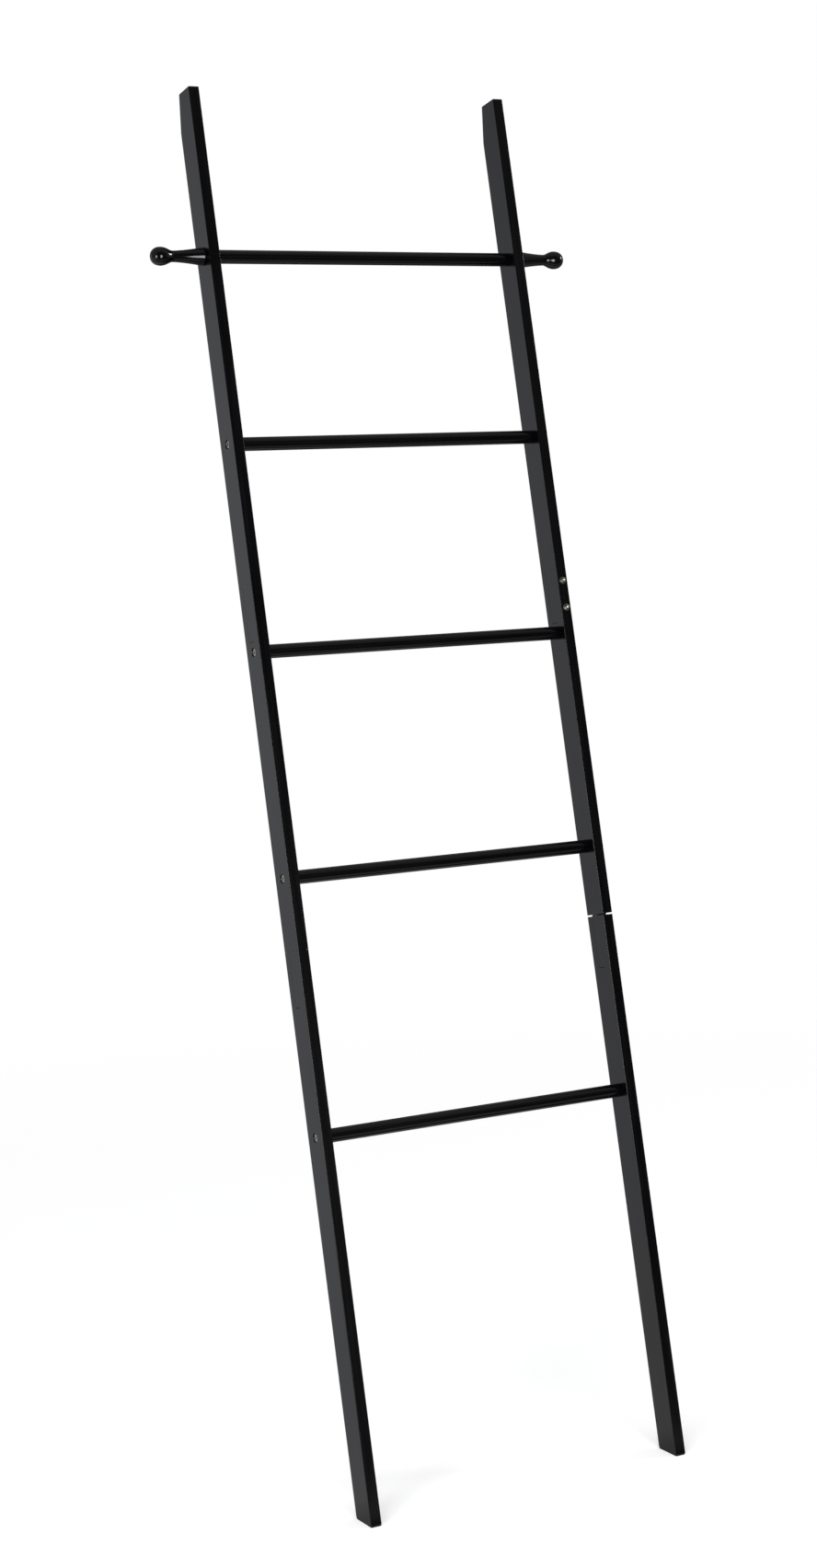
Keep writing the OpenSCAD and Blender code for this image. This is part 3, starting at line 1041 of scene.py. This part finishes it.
@dataclass
class StudioFloor:
    """Pale floor that keeps the shadow and fades into the white backdrop.

    The lacquer mirrors a glow instead, which changes from place to place.
    """

    radius: float = 7.0
    rim_steps: int = 96
    color: str = "#E6E6E6"
    # Light added to the paint, which keeps it pale.
    lift: float = 0.25
    # Distance over which the paint fades into the backdrop.
    fade: Span = (1.2, 3.2)
    # Glow in front of the ladder and to its right, behind it on both sides, and far in front.
    front_glow: Span = (0.49, 0.3)
    back_glow: Span = (0.55, 0.12)
    far_glow: float = 0.05
    # Where one glow gives way to the next: the first two along X, the others along Y.
    left_to_right: Span = (-0.1, 0.2)
    near_to_side: Span = (0.2, 1.0)
    far_to_near: Span = (-1.6, -0.55)
    near_to_behind: Span = (0.3, 1.1)
    # The glow is shaded close to the feet, more in front than behind.
    front_shade: float = 0.12
    back_shade: float = 0.7
    shade_start: Span = (-0.55, -0.35)
    front_to_back: Span = (-0.19, -0.16)
    shade_end: Span = (-0.13, -0.07)
    # Where the window light gives way to white, along X.
    cool_to_white: Span = (-0.6, 0.0)

    def _glow(self, nodes: Nodes, place: Socket) -> Socket:
        """Make the glow that the lacquer mirrors.

        Args:
            nodes: tree of the floor's paint.
            place: socket with the place on the floor.

        Returns:
            Socket with the glow's shader.
        """
        across, back, _ = nodes.add("ShaderNodeSeparateXYZ", {0: place}).outputs
        behind = nodes.remap(across, self.left_to_right, self.back_glow)
        near = nodes.remap(across, self.near_to_side, self.front_glow)
        front = nodes.remap(back, self.far_to_near, (self.far_glow, near))
        unshaded = nodes.remap(back, self.near_to_behind, (front, behind))
        before = nodes.remap(back, self.shade_start, (1.0, self.front_shade))
        beyond = nodes.remap(back, self.shade_end, (self.back_shade, 1.0))
        shade = nodes.remap(back, self.front_to_back, (before, beyond))
        strength = nodes.add("ShaderNodeMath", {0: unshaded, 1: shade}, operation="MULTIPLY")
        tint = window_tint(nodes, across, self.cool_to_white)
        glow = nodes.add("ShaderNodeEmission", {"Color": tint, "Strength": strength})
        return glow.outputs[0]

    def _paint(self) -> Material:
        """Build the floor's material and return it."""
        material, nodes = new_material("painted studio floor")
        rays = nodes.add("ShaderNodeLightPath").outputs
        place = nodes.add("ShaderNodeTexCoord").outputs["Object"]
        distance = nodes.add("ShaderNodeVectorMath", {0: place}, operation="LENGTH")
        far = nodes.remap(distance.outputs["Value"], self.fade, (0.0, 1.0))
        paint = nodes.add("ShaderNodeBsdfDiffuse", {"Color": linear(self.color)})
        lift = nodes.add("ShaderNodeEmission", {"Color": WHITE, "Strength": self.lift})
        lit = nodes.add("ShaderNodeAddShader", {0: paint, 1: lift})
        white = nodes.add("ShaderNodeEmission", {"Color": WHITE, "Strength": 1.0})
        seen = nodes.add("ShaderNodeMixShader", {0: far, 1: lit, 2: white})
        other = nodes.add("ShaderNodeMixShader", {
            0: rays["Is Glossy Ray"], 1: paint, 2: self._glow(nodes, place)})
        shown = nodes.add("ShaderNodeMixShader", {0: rays["Is Camera Ray"], 1: other, 2: seen})
        nodes.add("ShaderNodeOutputMaterial", {"Surface": shown})
        return material

    def build(self) -> None:
        """Lay the floor."""
        work = bmesh.new()
        bmesh.ops.create_circle(work, cap_ends=True, radius=self.radius, segments=self.rim_steps)
        finished_mesh(work, "floor", self._paint())


@dataclass
class Backdrop:
    """White backdrop, which the lacquer mirrors as a room: bright behind and dark in front."""

    # Light of the room on matt surfaces.
    ambient: float = 0.42
    # Mirrored brightness behind the ladder: low and high on the left, and on the right.
    left_glow: Span = (0.6, 0.34)
    right_glow: float = 0.1
    # Mirrored brightness in front: low and high up in the room, and further to the right.
    room_glow: Span = (0.1, 0.02)
    dark_glow: float = 0.01
    # Mirrored brightness to the sides and overhead.
    side_glow: float = 0.24
    overhead_glow: float = 0.28
    # Where one gives way to the next: by the direction's part along Z, along X and along Y.
    left_rise: Span = (0.04, 0.25)
    room_rise: Span = (0.15, 0.3)
    left_to_right: Span = (-0.1, 0.2)
    room_to_dark: Span = (0.45, 0.51)
    front_to_side: Span = (-0.88, -0.5)
    side_to_overhead: Span = (-0.5, 0.3)
    overhead_to_behind: Span = (0.5, 0.82)
    # Where the window light gives way to white, by the part along X.
    cool_to_white: Span = (-0.3, 0.0)

    def build(self) -> None:
        """Make the world."""
        world = bpy.data.worlds.new("studio")
        world.use_nodes = True
        nodes = Nodes(world.node_tree)
        rays = nodes.add("ShaderNodeLightPath").outputs
        direction = nodes.add("ShaderNodeTexCoord").outputs["Generated"]
        across, back, up = nodes.add("ShaderNodeSeparateXYZ", {0: direction}).outputs

        left = nodes.remap(up, self.left_rise, self.left_glow)
        behind = nodes.remap(across, self.left_to_right, (left, self.right_glow))
        room = nodes.remap(up, self.room_rise, self.room_glow)
        front = nodes.remap(across, self.room_to_dark, (room, self.dark_glow))
        side = nodes.remap(back, self.front_to_side, (front, self.side_glow))
        overhead = nodes.remap(back, self.side_to_overhead, (side, self.overhead_glow))
        mirrored = nodes.remap(back, self.overhead_to_behind, (overhead, behind))

        other = nodes.add("ShaderNodeMix", {
            0: rays["Is Glossy Ray"], VALUE_A: self.ambient, VALUE_B: mirrored}, data_type="FLOAT")
        level = nodes.add("ShaderNodeMix", {
            0: rays["Is Camera Ray"], VALUE_A: other, VALUE_B: 1.0}, data_type="FLOAT")
        tint = window_tint(nodes, across, self.cool_to_white)
        color = nodes.add("ShaderNodeMix", {
            0: rays["Is Camera Ray"], COLOR_A: tint, COLOR_B: WHITE}, data_type="RGBA")
        light = nodes.add("ShaderNodeBackground", {
            "Color": color.outputs[MIXED_COLOR], "Strength": level})
        nodes.add("ShaderNodeOutputWorld", {"Surface": light})
        bpy.context.scene.world = world


def facing(away: Vector) -> Matrix:
    """Give the turn of a lamp that shines against a direction."""
    return away.to_track_quat("Z", "Y").to_matrix().to_4x4()


@dataclass(frozen=True)
class Softbox:
    """An oval softbox that faces the top of the ladder.

    It hangs at a bearing in degrees to the left of the ladder's front and a rise in degrees above
    its target. Its radiance is the brightness of its face, where 1 is white.
    """

    name: str
    bearing: float
    rise: float
    distance: float
    width: float
    height: float
    radiance: float

    def hang(self, target: Vector) -> None:
        """Hang the softbox.

        Args:
            target: place that it faces.
        """
        data = bpy.data.lights.new(self.name, "AREA")
        data.shape = "ELLIPSE"
        data.size = self.width
        data.size_y = self.height
        data.energy = self.radiance * math.pi * (math.pi / 4 * self.width * self.height)
        lamp = link(bpy.data.objects.new(self.name, data))
        bearing, rise = math.radians(self.bearing), math.radians(self.rise)
        away = Vector((-math.sin(bearing) * math.cos(rise), -math.cos(bearing) * math.cos(rise),
                       math.sin(rise)))
        lamp.matrix_world = Matrix.Translation(target + away * self.distance) @ facing(away)
        lamp.visible_camera = False


@dataclass
class Lamps:
    """The two softboxes, the small side lamp and the soft overhead light."""

    softboxes: tuple[Softbox, ...] = (
        Softbox("front softbox", 1.8, -9.0, 3.0, 0.95, 1.8, 7.5),
        Softbox("left softbox", 57.5, -9.0, 3.0, 0.95, 1.6, 7.8),
        Softbox("right lamp", -74.0, 17.0, 3.2, 0.42, 1.1, 18.0))
    sun_strength: float = 1.5
    sun_angle: float = math.radians(35.0)
    sun_from: tuple[float, float, float] = (-0.35, -0.45, 1.0)

    def build(self) -> None:
        """Hang all the lamps."""
        for softbox in self.softboxes:
            softbox.hang(box_middle(RUNGS[0]))
        data = bpy.data.lights.new("overhead light", "SUN")
        data.energy = self.sun_strength
        data.angle = self.sun_angle
        sun = link(bpy.data.objects.new("overhead light", data))
        sun.matrix_world = facing(Vector(self.sun_from))
        sun.visible_glossy = False


def main() -> None:
    """Build the ladder piece by piece, then the studio."""
    logging.basicConfig(level=logging.INFO, format="%(name)s: %(message)s")
    place = LeaningFrame()
    tree = TurnedTree()
    rail_lacquer = BlackLacquer("black lacquered beech, rails", Grain.RAIL).make()
    rung_lacquer = BlackLacquer("black lacquered beech, rungs", Grain.RUNG, roughness=0.09,
                                roughness_spread=0.02).make()
    knob_lacquer = BlackLacquer("gloss black lacquered beech, knobs", Grain.RUNG, roughness=0.07,
                                roughness_spread=0.015, sanding_depth=0.003 * MM,
                                swell_depth=0.006 * MM).make()
    # One nickel plating is painted in two brightnesses: the rung screws lighter to make up for the
    # shade of their counterbores, with sockets painted darker as shade; the splice screws darker,
    # with sockets painted bright as a highlight.
    nickel = PlatedMetal("satin nickel plated steel", "#EDEBE0", "#C4C2B4", roughness=0.3,
                         socket_highlight_and_shade_color="#A09E90", key_roughness=0.4).make()
    darker_painted_nickel = PlatedMetal("antique nickel plated steel", "#86847A", "#5E5C50", roughness=0.36,
                              socket_highlight_and_shade_color="#E2DFD5").make()
    steel = PlatedMetal("zinc plated steel", "#C4C6C8", "#A9ABAE").make()
    brass = PlatedMetal("turned brass", "#D9B46A", "#B48F4B").make()
    rubber = MattRubber("matt black rubber").make()

    Rails(rail_lacquer, place).build()
    Rungs(tree, rung_lacquer).build()
    Knobs(tree, knob_lacquer).build()
    Screws(tree, place, nickel, darker_painted_nickel).build()
    FootPads(rubber).build()
    HiddenHardware(steel, brass).build()

    bpy.context.scene.view_settings.view_transform = "Standard"
    StudioCamera().build()
    StudioFloor().build()
    Backdrop().build()
    Lamps().build()


if __name__ == "__main__":
    main()
